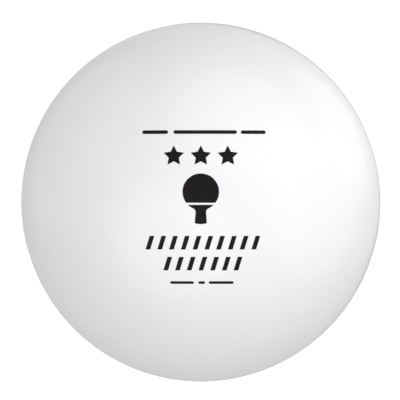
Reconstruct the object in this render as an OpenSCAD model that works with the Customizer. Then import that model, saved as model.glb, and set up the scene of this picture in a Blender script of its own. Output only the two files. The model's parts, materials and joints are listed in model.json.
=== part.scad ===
// Table tennis ball, 40+ class, moulded in two half shells that meet in a
// stepped lap joint and are cemented round the equator. The origin is the
// centre of the ball, +Z points up the print, and the print faces -Y.
// The seam lies in the plane y = 0.

/* [Ball] */
// Outside diameter of the ball
ball_d = 40.2; // [40:0.1:40.6]
// Wall thickness away from the seam
wall_t = 0.48; // [0.42:0.02:0.56]

/* [Seam] */
// Wall thickness at the seam, where both halves carry an inner land
land_t = 0.8; // [0.74:0.02:0.9]
// Length of the tongue that reaches into the back half
tongue_l = 1.5; // [1.2:0.1:1.8]
// Draft angle of the tongue and of its socket, in degrees
draft_a = 3; // [1:0.5:4]
// Thickness of the cement film between the halves
cement_t = 0.04; // [0.03:0.01:0.05]
// Chamfer on the tongue's leading edge
lead_c = 0.1; // [0.06:0.02:0.14]
// Depth of the witness groove that runs round the outside
groove_d = 0.05; // [0.03:0.01:0.07]
// Radius of the bead of cement squeezed out inside
bead_r = 0.18; // [0.1:0.02:0.24]

/* [Print] */
// Thickness of the ink films
ink_t = 0.03; // [0.02:0.01:0.04]
// Distance from star to star
star_pitch = 2.88; // [2.6:0.02:3.1]
// Tip radius of a star
star_r = 1.14; // [0.8:0.02:1.2]
// Height of the stars' centres above the ball's centre
star_z = 4.93; // [4.8:0.01:5.1]
// Overall height of the bat emblem
bat_h = 5.4; // [5:0.1:5.6]
// Width of the bat's blade
bat_w = 3.9; // [3.5:0.1:4.2]
// Width of the bat's grip at its foot
grip_w = 1.3; // [1.1:0.05:1.5]
// Height of the lowest point of the bat emblem
bat_z = -2.34; // [-2.6:0.02:-2]
// Height of the two bold bars, which are made of slanting stripes
bold_h = 1.45; // [1.2:0.05:1.6]
// Width of one stripe
stripe_w = 0.5; // [0.4:0.05:0.7]
// Distance from stripe to stripe, before it is rounded to fill the bar
stripe_pitch = 1.25; // [1.1:0.05:1.5]
// Lean of the stripes from upright, in degrees
stripe_lean = 17; // [0:1:30]
// Thickness of the thin bars at the top
thin_t = 0.38; // [0.24:0.02:0.5]
// Thickness of the small bars at the bottom
small_t = 0.28; // [0.18:0.02:0.4]

/* [Hidden] */
$fn = 180;
ball_r = ball_d / 2;
cavity_r = ball_r - wall_t;
land_r = ball_r - land_t;
// The tongue takes the inner half of the wall at the seam
root_r = land_r + (land_t - cement_t) / 2;
// The cement stops just short of the ball's surface
cement_sink = 0.01;
// Spare length on anything that reaches past the ball or the print
spare = 1;
clear_r = ball_r + spare;
// Half of a 45 degree corner, for the offset of the chamfered edge
corner_k = tan(22.5);
bead_fn = 24;
arc_fn = 64;
// The print reaches this far back from the front of the ball
print_depth = 3;
// Ratio of a star's inner corners to its tips
star_waist = 0.5;
star_points = 5;
blade_r = bat_w / 2;
blade_z = bat_z + bat_h - blade_r;
// The bat's rubber ends at this share of the blade's radius below its centre,
// and a bare strip is left between the rubber and the grip
rubber_end = 0.6;
rubber_gap = 0.22;
rubber_z = blade_z - rubber_end * blade_r;
// The grip narrows upward by this many degrees on each side
grip_taper = 4;
// Radius of the grip's convex foot
foot_r = 2;
// Radius of the hollow between the blade and the grip, and how far that
// circle runs into both of them
hollow_r = 0.45;
hollow_bite = 0.005;
// Height, left end and right end of every bar in the four printed lines
top_bars = [[7.5, -6.27, -3.5], [7.5, -2.91, 3.86], [7.5, 4.29, 6.95]];
upper_bar = [-4.32, -5.9, 6.35];
lower_bar = [-6.56, -4, 4.45];
bottom_bars = [[-8.6, -3.26, -0.75], [-8.6, -0.26, 0.45], [-8.6, 0.85, 3.5]];

// Radius of the tongue's drafted face at height h from the seam plane
function tongue_r(h) = root_r + h * tan(draft_a);

// One side of the joint, from the hollow out to the ball's surface.
// swell moves it outward from the tongue and rim is the height of its rim.
function joint_line(swell, rim) = [
    [0, -tongue_l - swell],
    [tongue_r(-tongue_l) - lead_c + swell * corner_k, -tongue_l - swell],
    [tongue_r(-tongue_l) + swell, -tongue_l + lead_c - swell * corner_k],
    [tongue_r(rim) + swell, rim],
    [ball_r - groove_d, rim],
    [clear_r, rim + sign(rim) * (clear_r - ball_r + groove_d)]
];
front_line = joint_line(0, cement_t / 2);
back_line = joint_line(cement_t, -cement_t / 2);

function reversed(list) = [for (i = [len(list) - 1:-1:0]) list[i]];

// Sections in the half plane x > 0, where y runs along the ball's axis
// from the back pole to the front pole

// The hollow inside the ball, narrowed to a cylinder at the seam
module cavity_section() {
    intersection() {
        circle(cavity_r);
        square([2 * land_r, 2 * cavity_r], center = true);
    }
}

// The wall of the whole ball out to radius r
module wall_section(r) {
    difference() {
        intersection() {
            circle(r);
            translate([0, -clear_r]) square([clear_r, 2 * clear_r]);
        }
        cavity_section();
    }
}

// Everything on the front side of the joint
module front_side() {
    polygon(concat(front_line, [[clear_r, 2 * clear_r], [0, 2 * clear_r]]));
}

// Everything on the back side of the joint
module back_side() {
    polygon(concat(back_line, [[clear_r, -2 * clear_r], [0, -2 * clear_r]]));
}

// The space between the two sides
module joint_space() {
    polygon(concat(front_line, reversed(back_line)));
}

// The cement squeezed out on the land, over the mouth of the film
module bead_section() {
    intersection() {
        translate([land_r, -tongue_l - cement_t / 2]) circle(bead_r, $fn = bead_fn);
        cavity_section();
    }
}

// Turns a section about the ball's axis, with its front pole at -Y
module about_axis() {
    rotate([90, 0, 0]) rotate_extrude() children();
}

module front_half_shell() {
    color("whitesmoke") about_axis() intersection() {
        wall_section(ball_r);
        front_side();
    }
}

module back_half_shell() {
    color("white") about_axis() intersection() {
        wall_section(ball_r);
        back_side();
    }
}

module seam_cement() {
    color("gainsboro") about_axis() {
        intersection() {
            wall_section(ball_r - cement_sink);
            joint_space();
        }
        bead_section();
    }
}

// Flat art, with x to the right and y up, laid on the front of the ball
module ink_film() {
    color([0.14, 0.12, 0.13]) difference() {
        intersection() {
            rotate([90, 0, 0]) translate([0, 0, ball_r - print_depth])
                linear_extrude(2 * print_depth) children();
            sphere(ball_r + ink_t);
        }
        sphere(ball_r);
    }
}

// A star with its first point up
module star() {
    tips = 2 * star_points;
    polygon([
        for (i = [0:tips - 1])
            let (r = i % 2 == 0 ? star_r : star_waist * star_r, a = 90 + i * 360 / tips)
                r * [cos(a), sin(a)]
    ]);
}

// A star moved along the row by a number of places
module star_film(place) {
    ink_film() translate([place * star_pitch, star_z]) star();
}

module star_left() {
    star_film(-1);
}

module star_centre() {
    star_film(0);
}

module star_right() {
    star_film(1);
}

// The mirror image of a line of points, from its last point to its first
function mirrored(list) = [for (p = reversed(list)) [-p[0], p[1]]];

// Half of the grip's width at height z
function grip_half(z) = grip_w / 2 - (z - bat_z) * tan(grip_taper);

// The bat's grip, on a foot that bulges down
module grip() {
    side = [for (z = [bat_z - spare, blade_z]) [grip_half(z), z]];
    intersection() {
        polygon(concat(side, mirrored(side)));
        translate([0, bat_z + foot_r]) circle(foot_r, $fn = arc_fn);
    }
}

// The shoulders between the blade and the grip. A circle hollows each side,
// and bites a little into the blade and into the side of the grip. It is placed
// from the blade's centre, square to the side of the grip and along it.
module shoulders() {
    square_to = [cos(grip_taper), sin(grip_taper)];
    along = [sin(grip_taper), -cos(grip_taper)];
    offset_out = grip_half(blade_z) * cos(grip_taper) + hollow_r - hollow_bite;
    reach = blade_r + hollow_r - hollow_bite;
    hollow = [0, blade_z] + offset_out * square_to + sqrt(reach ^ 2 - offset_out ^ 2) * along;
    side = [hollow - hollow_r * square_to, hollow];
    difference() {
        polygon(concat(side, [[0, blade_z]], mirrored(side)));
        for (x = [-hollow[0], hollow[0]])
            translate([x, hollow[1]]) circle(hollow_r, $fn = arc_fn);
    }
}

// Outline of a table tennis bat that stands on its grip
module bat() {
    translate([0, blade_z]) circle(blade_r, $fn = arc_fn);
    shoulders();
    grip();
}

// The part of the bat between two heights
module bat_between(low, high) {
    intersection() {
        bat();
        translate([-bat_w, low]) square([2 * bat_w, high - low]);
    }
}

module bat_blade_print() {
    ink_film() bat_between(rubber_z, bat_z + bat_h + spare);
}

module bat_grip_print() {
    ink_film() bat_between(bat_z - spare, rubber_z - rubber_gap);
}

// A bar with round ends, given as [height, left end, right end]
module bar(place, thick) {
    end_r = thick / 2;
    translate([place[1] + end_r, place[0] - end_r])
        square([place[2] - place[1] - thick, thick]);
    for (x = [place[1] + end_r, place[2] - end_r])
        translate([x, place[0]]) circle(end_r, $fn = bead_fn);
}

// A printed line of separate bars
module bar_line(bars, thick) {
    ink_film() for (place = bars) bar(place, thick);
}

// A bold bar of slanting stripes, given as [height, left end, right end]
module striped_bar(place) {
    lean = bold_h * tan(stripe_lean);
    reach = place[2] - place[1] - stripe_w - lean;
    gaps = round(reach / stripe_pitch);
    for (i = [0:gaps])
        translate([place[1] + i * reach / gaps, place[0] - bold_h / 2])
            polygon([[0, 0], [stripe_w, 0], [stripe_w + lean, bold_h], [lean, bold_h]]);
}

module top_line_print() {
    bar_line(top_bars, thin_t);
}

module upper_bar_print() {
    ink_film() striped_bar(upper_bar);
}

module lower_bar_print() {
    ink_film() striped_bar(lower_bar);
}

module bottom_line_print() {
    bar_line(bottom_bars, small_t);
}

front_half_shell();
back_half_shell();
seam_cement();
star_left();
star_centre();
star_right();
bat_blade_print();
bat_grip_print();
top_line_print();
upper_bar_print();
lower_bar_print();
bottom_line_print();
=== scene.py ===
"""A table tennis ball: two half shells, the cement between them and the printed marks.

All lengths are in metres, in the CAD frame: the ball's centre is the origin, +Z is up the
print, and the print faces -Y. The halves are turned about Y and meet in the plane y = 0.
"""

import json
import math

import bpy
import numpy as np
from mathutils import Matrix, Vector, noise
from mathutils.geometry import delaunay_2d_cdt

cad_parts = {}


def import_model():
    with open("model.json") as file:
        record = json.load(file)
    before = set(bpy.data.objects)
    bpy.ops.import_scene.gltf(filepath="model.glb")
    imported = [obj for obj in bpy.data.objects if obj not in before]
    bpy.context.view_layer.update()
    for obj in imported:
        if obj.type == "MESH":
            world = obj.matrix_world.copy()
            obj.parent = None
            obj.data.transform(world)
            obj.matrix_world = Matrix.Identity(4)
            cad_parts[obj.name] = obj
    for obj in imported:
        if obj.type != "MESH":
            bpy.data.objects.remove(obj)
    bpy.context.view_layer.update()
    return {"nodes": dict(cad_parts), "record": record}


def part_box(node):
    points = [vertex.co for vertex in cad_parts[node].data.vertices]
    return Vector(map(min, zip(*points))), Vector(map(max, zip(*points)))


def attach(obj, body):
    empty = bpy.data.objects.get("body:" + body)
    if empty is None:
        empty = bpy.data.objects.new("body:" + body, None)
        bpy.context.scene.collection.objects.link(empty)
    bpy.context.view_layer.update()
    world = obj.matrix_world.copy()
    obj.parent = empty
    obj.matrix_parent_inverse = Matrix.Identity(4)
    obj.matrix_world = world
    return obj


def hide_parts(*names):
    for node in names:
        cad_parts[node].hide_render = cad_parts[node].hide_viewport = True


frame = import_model()

MM = 0.001

# Sizes read from the frame
BALL_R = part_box("front_half_shell")[1].x
TONGUE_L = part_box("front_half_shell")[1].y

# The ball's section, as in the CAD model
WALL_T = 0.48 * MM
LAND_T = 0.8 * MM
CEMENT_T = 0.04 * MM
DRAFT = math.radians(3)
LEAD_C = 0.1 * MM
GROOVE_D = 0.05 * MM
BEAD_R = 0.18 * MM
# Rounding that tumbling leaves on the groove's edges, and the cement's hollow in the groove
SHOULDER = 0.06 * MM
MENISCUS = 0.012 * MM

# Half of a 45 degree corner, for the offset of the tongue's chamfered edge
HALF_CORNER = math.radians(22.5)

# How finely things are divided: the ball round its axis, its outside and inside from pole to
# seam, every rounded corner, and the bead
TURNS = 256
OUTER_STEPS = 64
INNER_STEPS = 24
ARC_STEPS = 5
BEAD_STEPS = 10
# Edges that turn by more than this are shaded sharp
SHARP = math.radians(32)

# The ink films: thickness, width of the rounded edge, depth set into the plastic
INK_T = 0.03 * MM
INK_EDGE = 0.035 * MM
INK_ROOT = 0.012 * MM
# Rows of points across the rounded edge, as shares of its width
EDGE_ROWS = (0.12, 0.3, 0.6, 1.0)
# A point of a row is dropped where another part of the outline is closer than this share
ROW_CLEAR = 0.93
# Distance from point to point along the edge and over the flat middle, and how far the middle
# stays from the outline as a multiple of INK_EDGE
EDGE_SPACING = 0.045 * MM
FILL_SPACING = 0.13 * MM
FILL_CLEAR = 1.6
# Outline corners that turn by more than this are rounded over this reach
CORNER = math.radians(30)
CORNER_REACH = 0.05 * MM
# How far the printed edge wanders, over what distance, and the seed of its noise
WANDER = 0.006 * MM
WANDER_LENGTH = 0.25 * MM
WANDER_SEED = 5
# Points of a CAD mesh closer than this are one point
SPOT = 0.0001 * MM
# For the triangulation of a film, which is done in millimetres: triangles inside the outline
# only, and how close two points touch
ONLY_INSIDE = 1
TOUCHING = 1e-7

# Each finish has two colours that clouds of one size blend, a range of roughness that
# patches of another size blend, and a grain of a size and depth that raises the surface
SHELL_DARK = (0.925, 0.925, 0.944)
SHELL_LIGHT = (0.935, 0.935, 0.954)
SHELL_CLOUD = 9 * MM
SHELL_PATCH = 0.5 * MM
SHELL_ROUGHNESS = (0.4, 0.46)
SHELL_GRAIN = 0.16 * MM
SHELL_GRAIN_DEPTH = 0.004 * MM
SHELL_GRAIN_DETAIL = 3.0
# Shallow dents left by the tumbling
DENT_SIZE = 1.4 * MM
DENT_DEPTH = 0.002 * MM
# Sanding lines that run round the seam: width, depth, how far they are drawn out along it,
# and how far from the seam they fade away
LINE_WIDTH = 0.08 * MM
LINE_DEPTH = 0.004 * MM
LINE_STRETCH = 20
LINE_REACH = 1.3 * MM
# Light that enters the plastic, and the sheen over it
SUBSURFACE = 0.08
SUBSURFACE_TINT = (1.0, 0.9, 0.8)
SUBSURFACE_REACH = 0.4 * MM
SHEEN = 0.4
SHEEN_ROUGHNESS = 0.15

CEMENT_DARK = (0.76, 0.755, 0.74)
CEMENT_LIGHT = (0.82, 0.815, 0.8)
CEMENT_CLOUD = 2.5 * MM
CEMENT_PATCH = 0.7 * MM
CEMENT_ROUGHNESS = (0.3, 0.42)
CEMENT_GRAIN = 0.3 * MM
CEMENT_GRAIN_DEPTH = 0.006 * MM

INK_DARK = (0.006, 0.0045, 0.005)
INK_LIGHT = (0.009, 0.0065, 0.007)
INK_CLOUD = 0.35 * MM
INK_PATCH = 0.2 * MM
INK_ROUGHNESS = (0.42, 0.52)
INK_GRAIN = 0.09 * MM
INK_GRAIN_DEPTH = 0.002 * MM
INK_SPECULAR = 0.1

# Camera: distance, the ball's share of the frame, where its centre sits, the sensor's width in
# millimetres and the nearest and farthest distance seen
CAMERA_DISTANCE = 0.4
BALL_SHARE = 0.898
SHIFT_X = -0.002
SHIFT_Y = 0.0055
SENSOR = 36
CLIP = (0.01, 20)

# Light from all round: on the ball, in its sheen, and as the camera sees it
AMBIENT = 0.26
BACKDROP = 0.67
WHITE = 1.1
PURE_WHITE = (1, 1, 1, 1)
LIGHT_DISTANCE = 1.0
# Name, azimuth and elevation in degrees, size and power of each light
SOFTBOXES = [
    ("high", 40, 50, 1.5, 6.15),
    ("side", 80, 0, 1.5, 4.1),
    ("low_left", -20, -25, 1.5, 7.2),
    ("low_right", 40, -25, 1.5, 1.2),
    ("rim_left", -110, 25, 1.5, 2.02),
    ("rim_right", 125, 25, 0.8, 1.14),
]
# A light behind the ball, kept out of its sheen
BACK_LIGHT = ("back", 180, 5, 0.8, 3.5)
# The black card: its place behind the ball, its lean, its reach outward and its half width
FLAG_Y = 0.5
FLAG_ANGLE = math.radians(25)
FLAG_REACH = (0.03, 0.15)
FLAG_HALF = 0.15
FLAG_BLACK = (0.01, 0.01, 0.01)
# The floor: half its width, the light it gives off and its colour
FLOOR_HALF = 3.0
FLOOR_GLOW = 0.8
FLOOR_WHITE = (0.9, 0.9, 0.9)


# ---------------------------------------------------------------- meshes


def mesh_object(name, points, faces):
    """A smooth-shaded object whose edges past SHARP stay sharp."""
    mesh = bpy.data.meshes.new(name)
    mesh.from_pydata([tuple(p) for p in points], [], faces)
    mesh.shade_smooth()
    mesh.set_sharp_from_angle(angle=SHARP)
    obj = bpy.data.objects.new(name, mesh)
    bpy.context.scene.collection.objects.link(obj)
    return obj


def counterclockwise(profile):
    """The profile in the order that makes the faces turned from it look outward."""
    following = profile[1:] + profile[:1]
    area = sum(a[0] * b[1] - b[0] * a[1] for a, b in zip(profile, following))
    return profile if area > 0 else profile[::-1]


def turned(name, profile, looped):
    """Turns (radius, height) points about the ball's axis. Height runs towards the print.

    A looped profile closes on itself. Any other starts and ends on the axis.
    """
    profile = counterclockwise(profile)
    angles = [2 * math.pi * i / TURNS for i in range(TURNS)]
    points, rings = [], []
    for radius, height in profile:
        on_axis = radius < SPOT
        ring_angles = angles[:1] if on_axis else angles
        rings.append(range(len(points), len(points) + len(ring_angles)))
        points += [(radius * math.cos(a), -height, radius * math.sin(a)) for a in ring_angles]
    pairs = list(zip(rings, rings[1:]))
    if looped:
        pairs.append((rings[-1], rings[0]))
    faces = []
    for low, high in pairs:
        for i in range(TURNS):
            j = (i + 1) % TURNS
            corners = [(low, i), (low, j), (high, j), (high, i)]
            faces.append(tuple(dict.fromkeys(ring[k % len(ring)] for ring, k in corners)))
    return mesh_object(name, points, faces)


# ---------------------------------------------------------------- ball


def tongue_r(height):
    """Radius of the tongue's drafted face at a height from the seam plane."""
    return BALL_R - LAND_T + (LAND_T - CEMENT_T) / 2 + height * math.tan(DRAFT)


def joint_line(swell, rim):
    """One side of the lap joint, from the land inside to the rim outside."""
    corner = swell * math.tan(HALF_CORNER)
    return [
        (BALL_R - LAND_T, -TONGUE_L - swell),
        (tongue_r(-TONGUE_L) - LEAD_C + corner, -TONGUE_L - swell),
        (tongue_r(-TONGUE_L) + swell, -TONGUE_L + LEAD_C - corner),
        (tongue_r(rim) + swell, rim),
        (BALL_R - GROOVE_D, rim),
    ]


FRONT_LINE = joint_line(0, CEMENT_T / 2)
BACK_LINE = joint_line(CEMENT_T, -CEMENT_T / 2)


def curve_through(start, corner, end, steps):
    """Points on a quadratic curve that rounds a corner."""
    return [
        tuple(
            (1 - t) ** 2 * a + 2 * t * (1 - t) * b + t * t * c
            for a, b, c in zip(start, corner, end)
        )
        for t in (i / steps for i in range(steps + 1))
    ]


def on_sphere(radius, height):
    """The profile point of a sphere at a height."""
    return (math.sqrt(radius**2 - height**2), height)


def sphere_arc(radius, end_height, steps):
    """Profile points of a sphere from its pole to a height, which sets the side."""
    side = math.copysign(1, end_height)
    last = math.acos(abs(end_height) / radius)
    arc = [last * i / steps for i in range(steps + 1)]
    return [(radius * math.sin(a), side * radius * math.cos(a)) for a in arc]


def half_shell(name, side, joint):
    """One moulded half: side is 1 for the front and -1 for the back."""
    rim_height = CEMENT_T / 2 + GROOVE_D
    shoulder = curve_through(
        on_sphere(BALL_R, side * (rim_height + SHOULDER)),
        on_sphere(BALL_R, side * rim_height),
        (BALL_R - GROOVE_D / 2, side * (rim_height - GROOVE_D / 2)),
        ARC_STEPS,
    )
    outside = sphere_arc(BALL_R, side * (rim_height + SHOULDER), OUTER_STEPS)[:-1]
    cavity_r = BALL_R - WALL_T
    land_top = math.sqrt(cavity_r**2 - (BALL_R - LAND_T) ** 2)
    inside = sphere_arc(cavity_r, side * land_top, INNER_STEPS)
    profile = outside + shoulder + joint[::-1] + inside[::-1]
    return turned(name, profile, looped=False)


def cement_ring(name):
    """The film in the joint, its hollow skin in the groove and the bead inside."""
    skin_r = BALL_R - MENISCUS
    skin_h = CEMENT_T / 2 + GROOVE_D - MENISCUS
    skin = curve_through(
        (skin_r, skin_h), (BALL_R - 2 * MENISCUS, 0), (skin_r, -skin_h), ARC_STEPS
    )
    mouth = -TONGUE_L - CEMENT_T / 2
    # Half a circle round the mouth of the film, on the side of the hollow
    turn = [math.pi * (1.5 - i / BEAD_STEPS) for i in range(BEAD_STEPS + 1)]
    bead = [
        (BALL_R - LAND_T + BEAD_R * math.cos(a), mouth + BEAD_R * math.sin(a)) for a in turn
    ]
    profile = FRONT_LINE + skin + BACK_LINE[::-1] + bead
    return turned(name, profile, looped=True)


# ---------------------------------------------------------------- print


def film_outlines(node):
    """The outlines, as flat (x, z) points, of the outer faces of a CAD film."""
    mesh = frame["nodes"][node].data
    outer = [v.co.length > BALL_R + INK_T / 2 for v in mesh.vertices]
    spots = [tuple(round(c / SPOT) for c in v.co) for v in mesh.vertices]
    edges = set()
    for face in mesh.polygons:
        ring = list(face.vertices)
        if all(outer[i] for i in ring):
            edges |= {(spots[a], spots[b]) for a, b in zip(ring, ring[1:] + ring[:1])}
    following = {a: b for a, b in edges if (b, a) not in edges}
    found = []
    while following:
        spot = min(following)
        loop = []
        while spot in following:
            loop.append(spot)
            spot = following.pop(spot)
        found.append(SPOT * np.array([(x, z) for x, _, z in loop]))
    return found


def rounded(outline):
    """The closed outline with its sharp corners rounded."""
    points = []
    for i, corner in enumerate(outline):
        before = outline[i - 1] - corner
        after = outline[(i + 1) % len(outline)] - corner
        turn = math.pi - Vector(before).angle(Vector(after))
        if turn < CORNER:
            points.append(corner)
            continue
        near, far = (
            min(1, 2 * CORNER_REACH / np.linalg.norm(side)) / 2 * side for side in (before, after)
        )
        points += curve_through(corner + near, corner, corner + far, ARC_STEPS)
    return np.array(points)


def spaced(outline):
    """The closed outline with its long edges cut into steps of at most EDGE_SPACING."""
    points = []
    for a, b in zip(outline, np.roll(outline, -1, axis=0)):
        steps = max(1, math.ceil(np.linalg.norm(b - a) / EDGE_SPACING))
        points += [a + (b - a) * i / steps for i in range(steps)]
    return np.array(points)


def wandering(outline):
    """The outline with the slight unevenness of a pad print."""
    shifts = [noise.noise_vector(Vector((x, 0, z)) / WANDER_LENGTH) for x, z in outline]
    return outline + WANDER * np.array([(shift.x, shift.z) for shift in shifts])


def distance_to(outline, points):
    """The distance from each point to the closed outline."""
    along = np.roll(outline, -1, axis=0) - outline
    rel = points[:, None, :] - outline[None, :, :]
    share = np.clip((rel * along).sum(2) / (along**2).sum(1), 0, 1)
    gap = rel - share[:, :, None] * along[None, :, :]
    return np.sqrt((gap**2).sum(2)).min(1)


def inside_of(outline, points):
    """Whether each point is inside the closed outline."""
    start, end = outline, np.roll(outline, -1, axis=0)
    x, z = points[:, 0, None], points[:, 1, None]
    crosses = (start[:, 1] > z) != (end[:, 1] > z)
    rise = np.where(end[:, 1] == start[:, 1], 1, end[:, 1] - start[:, 1])
    crossing = start[:, 0] + (z - start[:, 1]) / rise * (end[:, 0] - start[:, 0])
    return (crosses & (x < crossing)).sum(1) % 2 == 1


def edge_rows(outline):
    """Points in rows just inside the outline, where the film's edge curves down."""
    along = np.roll(outline, -1, axis=0) - np.roll(outline, 1, axis=0)
    inward = np.stack([-along[:, 1], along[:, 0]], 1)
    inward /= np.linalg.norm(inward, axis=1)[:, None]
    rows = []
    for share in EDGE_ROWS:
        row = outline + inward * INK_EDGE * share
        clear = distance_to(outline, row) > ROW_CLEAR * INK_EDGE * share
        rows.append(row[clear & inside_of(outline, row)])
    return np.concatenate(rows)


def fill_points(outline):
    """A hexagonal grid of points in the flat middle of the film."""
    low, high = outline.min(0), outline.max(0)
    row_step = FILL_SPACING * math.sqrt(3) / 2
    rows = math.ceil((high[1] - low[1]) / row_step)
    columns = math.ceil((high[0] - low[0]) / FILL_SPACING)
    grid = np.array(
        [
            low + (FILL_SPACING * (i + j % 2 / 2), row_step * j)
            for j in range(rows + 1)
            for i in range(columns + 1)
        ]
    )
    grid = grid[inside_of(outline, grid)]
    return grid[distance_to(outline, grid) > FILL_CLEAR * INK_EDGE]


def on_ball(flat, lift):
    """Flat points projected along Y to the front of the ball, lifted off its surface."""
    radius = BALL_R + lift
    depth = np.sqrt(radius**2 - (flat**2).sum(1))
    return np.stack([flat[:, 0], -depth, flat[:, 1]], 1)


def ink_patch(outline):
    """Points and faces of one closed patch of ink, with its edge rounded down."""
    rim = wandering(spaced(rounded(outline)))
    flat = np.concatenate([rim, edge_rows(rim), fill_points(rim)])
    loop = [(i, (i + 1) % len(rim)) for i in range(len(rim))]
    places = [Vector(p) / MM for p in flat]
    made = delaunay_2d_cdt(places, loop, [], ONLY_INSIDE, TOUCHING)
    flat = MM * np.array([tuple(p) for p in made[0]])
    above = [tuple(f) for f in made[2]]
    level = np.clip(distance_to(rim, flat) / INK_EDGE, 0, 1)
    top = on_ball(flat, INK_T * np.sqrt(1 - (1 - level) ** 2))
    bottom = on_ball(flat, np.full(len(flat), -INK_ROOT))
    count = len(flat)
    below = [tuple(i + count for i in reversed(f)) for f in above]
    edges = {(a, b) for f in above for a, b in zip(f, f[1:] + f[:1])}
    border = [(a, b) for a, b in sorted(edges) if (b, a) not in edges]
    sides = [(b, a, a + count, b + count) for a, b in border]
    return np.concatenate([top, bottom]), above + below + sides


def ink_film(node):
    """The patches of ink that stand for one printed CAD node."""
    points, faces = [], []
    for outline in film_outlines(node):
        patch, patch_faces = ink_patch(outline)
        faces += [tuple(len(points) + i for i in f) for f in patch_faces]
        points += list(patch)
    return mesh_object("ink_" + node, points, faces)


# ---------------------------------------------------------------- materials


def add(tree, kind, inputs=None, **settings):
    """Adds a node. Inputs go by name or number, and take a value or a socket to link from."""
    made = tree.nodes.new(kind)
    for key, value in settings.items():
        setattr(made, key, value)
    for key, value in (inputs or {}).items():
        if isinstance(value, bpy.types.NodeSocket):
            tree.links.new(value, made.inputs[key])
        else:
            made.inputs[key].default_value = value
    return made


def empty_material(name):
    """A material and its tree, with no nodes."""
    material = bpy.data.materials.new(name)
    material.use_nodes = True
    material.node_tree.nodes.clear()
    return material, material.node_tree


def new_material(name):
    """A material with its tree, its Principled shader and object coordinates."""
    material, tree = empty_material(name)
    shader = add(tree, "ShaderNodeBsdfPrincipled")
    add(tree, "ShaderNodeOutputMaterial", {"Surface": shader.outputs["BSDF"]})
    coords = add(tree, "ShaderNodeTexCoord").outputs["Object"]
    return material, tree, shader, coords


def noise_at(tree, coords, size, detail=2.0):
    """Noise whose features are about size metres across."""
    made = add(
        tree, "ShaderNodeTexNoise", {"Vector": coords, "Scale": 1 / size, "Detail": detail}
    )
    return made.outputs["Fac"]


def spread(tree, value, low, high, start=0.3, end=0.7):
    """A value's middle range spread from low to high."""
    made = add(
        tree,
        "ShaderNodeMapRange",
        {"Value": value, "From Min": start, "From Max": end, "To Min": low, "To Max": high},
    )
    return made.outputs["Result"]


def blended(tree, share, first, second):
    """A colour between two, by a share."""
    made = add(tree, "ShaderNodeMix", data_type="RGBA")
    tree.links.new(share, made.inputs["Factor"])
    made.inputs["A"].default_value = (*first, 1)
    made.inputs["B"].default_value = (*second, 1)
    return next(o for o in made.outputs if o.type == "RGBA")


def bumped(tree, height, depth, under=None):
    """A normal raised by height times depth, over another normal."""
    made = add(tree, "ShaderNodeBump", {"Height": height, "Distance": depth})
    if under is not None:
        tree.links.new(under, made.inputs["Normal"])
    return made.outputs["Normal"]


def times(tree, first, second):
    """The product of two values."""
    made = add(tree, "ShaderNodeMath", {0: first, 1: second}, operation="MULTIPLY")
    return made.outputs[0]


def seam_band(tree, coords, width):
    """1 on the seam, falling to 0 at a distance of width from it."""
    split = add(tree, "ShaderNodeSeparateXYZ", {"Vector": coords})
    away = add(tree, "ShaderNodeMath", {0: split.outputs["Y"]}, operation="ABSOLUTE")
    return spread(tree, away.outputs[0], 1, 0, 0, width)


def mottled(tree, coords, shader, cloud, colours, patch, roughness):
    """Blends a finish's colours by clouds and its roughness by patches."""
    clouds = spread(tree, noise_at(tree, coords, cloud), 0, 1)
    tree.links.new(blended(tree, clouds, *colours), shader.inputs["Base Color"])
    patches = spread(tree, noise_at(tree, coords, patch), *roughness)
    tree.links.new(patches, shader.inputs["Roughness"])


def ball_plastic():
    """White plastic tumbled to an even matte, with sanding lines along the seam."""
    material, tree, shader, coords = new_material("ball_plastic_tumbled")
    colours = (SHELL_DARK, SHELL_LIGHT)
    mottled(tree, coords, shader, SHELL_CLOUD, colours, SHELL_PATCH, SHELL_ROUGHNESS)
    grain = noise_at(tree, coords, SHELL_GRAIN, SHELL_GRAIN_DETAIL)
    normal = bumped(tree, grain, SHELL_GRAIN_DEPTH)
    dents = add(tree, "ShaderNodeTexVoronoi", {"Vector": coords, "Scale": 1 / DENT_SIZE})
    normal = bumped(tree, dents.outputs["Distance"], DENT_DEPTH, normal)
    drawn_out = (1 / LINE_STRETCH, 1, 1 / LINE_STRETCH)
    stretch = add(tree, "ShaderNodeMapping", {"Vector": coords, "Scale": drawn_out})
    lines = noise_at(tree, stretch.outputs["Vector"], LINE_WIDTH)
    band = seam_band(tree, coords, LINE_REACH)
    normal = bumped(tree, times(tree, lines, band), LINE_DEPTH, normal)
    tree.links.new(normal, shader.inputs["Normal"])
    shader.inputs["Subsurface Weight"].default_value = SUBSURFACE
    shader.inputs["Subsurface Radius"].default_value = SUBSURFACE_TINT
    shader.inputs["Subsurface Scale"].default_value = SUBSURFACE_REACH
    shader.inputs["Coat Weight"].default_value = SHEEN
    shader.inputs["Coat Roughness"].default_value = SHEEN_ROUGHNESS
    return material


def cement():
    """Dried cement: a little greyer and smoother than the plastic."""
    material, tree, shader, coords = new_material("seam_cement_dried")
    colours = (CEMENT_DARK, CEMENT_LIGHT)
    mottled(tree, coords, shader, CEMENT_CLOUD, colours, CEMENT_PATCH, CEMENT_ROUGHNESS)
    grain = noise_at(tree, coords, CEMENT_GRAIN)
    tree.links.new(bumped(tree, grain, CEMENT_GRAIN_DEPTH), shader.inputs["Normal"])
    return material


def ink():
    """Black pad-printing ink: thin, even and almost matte."""
    material, tree, shader, coords = new_material("pad_print_ink")
    colours = (INK_DARK, INK_LIGHT)
    mottled(tree, coords, shader, INK_CLOUD, colours, INK_PATCH, INK_ROUGHNESS)
    grain = noise_at(tree, coords, INK_GRAIN)
    tree.links.new(bumped(tree, grain, INK_GRAIN_DEPTH), shader.inputs["Normal"])
    shader.inputs["Specular IOR Level"].default_value = INK_SPECULAR
    return material


# ---------------------------------------------------------------- pieces


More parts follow.
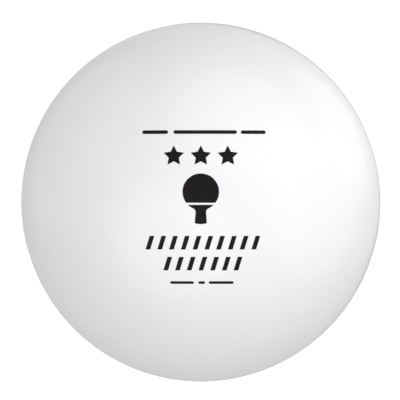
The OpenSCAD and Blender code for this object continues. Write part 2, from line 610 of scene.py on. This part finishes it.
def place(obj, node, material):
    """Gives a piece its finish, and makes it stand for a CAD node on the ball."""
    obj.data.materials.append(material)
    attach(obj, "root")
    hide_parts(node)


SHELL = ball_plastic()
place(half_shell("front_shell", 1, FRONT_LINE), "front_half_shell", SHELL)
place(half_shell("back_shell", -1, BACK_LINE), "back_half_shell", SHELL)
place(cement_ring("cement_ring"), "seam_cement", cement())

noise.seed_set(WANDER_SEED)
INK = ink()
for part in frame["record"]["subparts"]:
    if part["material_slot"] == "ink":
        place(ink_film(part["node"]), part["node"], INK)


# ---------------------------------------------------------------- stage


def floor():
    """A pale floor under the ball, bright enough to meet the backdrop unseen."""
    corners = [(x * FLOOR_HALF, y * FLOOR_HALF) for x, y in ((-1, -1), (1, -1), (1, 1), (-1, 1))]
    obj = mesh_object("floor", [(x, y, -BALL_R) for x, y in corners], [(0, 1, 2, 3)])
    material, tree = empty_material("floor_paper")
    glow = add(tree, "ShaderNodeEmission", {"Strength": FLOOR_GLOW})
    paper = add(tree, "ShaderNodeBsdfDiffuse", {"Color": (*FLOOR_WHITE, 1)})
    both = add(tree, "ShaderNodeAddShader", {0: glow.outputs[0], 1: paper.outputs[0]})
    add(tree, "ShaderNodeOutputMaterial", {"Surface": both.outputs[0]})
    obj.data.materials.append(material)
    obj.visible_diffuse = False
    obj.visible_glossy = False
    obj.visible_shadow = False


def flag():
    """A black card behind the ball, up on the right, that only the ball's sheen shows.

    It draws a thin grey line down the ball's bright edge.
    """
    near, far = FLAG_REACH
    lean = Matrix.Rotation(-FLAG_ANGLE, 4, "Y")
    corners = [(near, -FLAG_HALF), (far, -FLAG_HALF), (far, FLAG_HALF), (near, FLAG_HALF)]
    points = [lean @ Vector((x, FLAG_Y, z)) for x, z in corners]
    obj = mesh_object("flag", points, [(0, 1, 2, 3)])
    material, tree = empty_material("flag_black")
    black = add(tree, "ShaderNodeBsdfDiffuse", {"Color": (*FLAG_BLACK, 1)})
    add(tree, "ShaderNodeOutputMaterial", {"Surface": black.outputs[0]})
    obj.data.materials.append(material)
    obj.visible_camera = False
    obj.visible_diffuse = False
    obj.visible_shadow = False


def world():
    """White to the camera, an even grey to the ball, and a paler one in its sheen."""
    made = bpy.data.worlds.new("studio")
    bpy.context.scene.world = made
    made.use_nodes = True
    tree = made.node_tree
    tree.nodes.clear()
    rays = add(tree, "ShaderNodeLightPath")
    shade = add(tree, "ShaderNodeBackground", {"Color": PURE_WHITE, "Strength": AMBIENT})
    for strength, seen_by in ((BACKDROP, "Is Glossy Ray"), (WHITE, "Is Camera Ray")):
        light = add(tree, "ShaderNodeBackground", {"Color": PURE_WHITE, "Strength": strength})
        mix = {0: rays.outputs[seen_by], 1: shade.outputs[0], 2: light.outputs[0]}
        shade = add(tree, "ShaderNodeMixShader", mix)
    add(tree, "ShaderNodeOutputWorld", {"Surface": shade.outputs[0]})


def softbox(name, azimuth, elevation, size, power):
    """A round soft light that faces the ball. Azimuth 0 is at the camera, 90 at +X."""
    turn, rise = math.radians(azimuth), math.radians(elevation)
    level = Vector((math.sin(turn), -math.cos(turn), 0))
    towards = math.cos(rise) * level + Vector((0, 0, math.sin(rise)))
    data = bpy.data.lights.new(name, "AREA")
    data.shape = "DISK"
    data.size = size
    data.energy = power
    obj = bpy.data.objects.new(name, data)
    obj.location = towards * LIGHT_DISTANCE
    obj.rotation_euler = towards.to_track_quat("Z", "Y").to_euler()
    bpy.context.scene.collection.objects.link(obj)
    return obj


def camera():
    """Looks along +Y at the print, from the photograph's side."""
    silhouette = math.tan(math.asin(BALL_R / CAMERA_DISTANCE))
    data = bpy.data.cameras.new("camera")
    data.sensor_width = SENSOR
    data.lens = SENSOR / 2 * BALL_SHARE / silhouette
    data.shift_x = SHIFT_X
    data.shift_y = SHIFT_Y
    data.clip_start, data.clip_end = CLIP
    obj = bpy.data.objects.new("camera", data)
    obj.location = (0, -CAMERA_DISTANCE, 0)
    obj.rotation_euler = (math.radians(90), 0, 0)
    bpy.context.scene.collection.objects.link(obj)
    bpy.context.scene.camera = obj


bpy.context.scene.view_settings.view_transform = "Standard"
floor()
flag()
world()
for light in SOFTBOXES:
    softbox(*light)
softbox(*BACK_LIGHT).visible_glossy = False
camera()
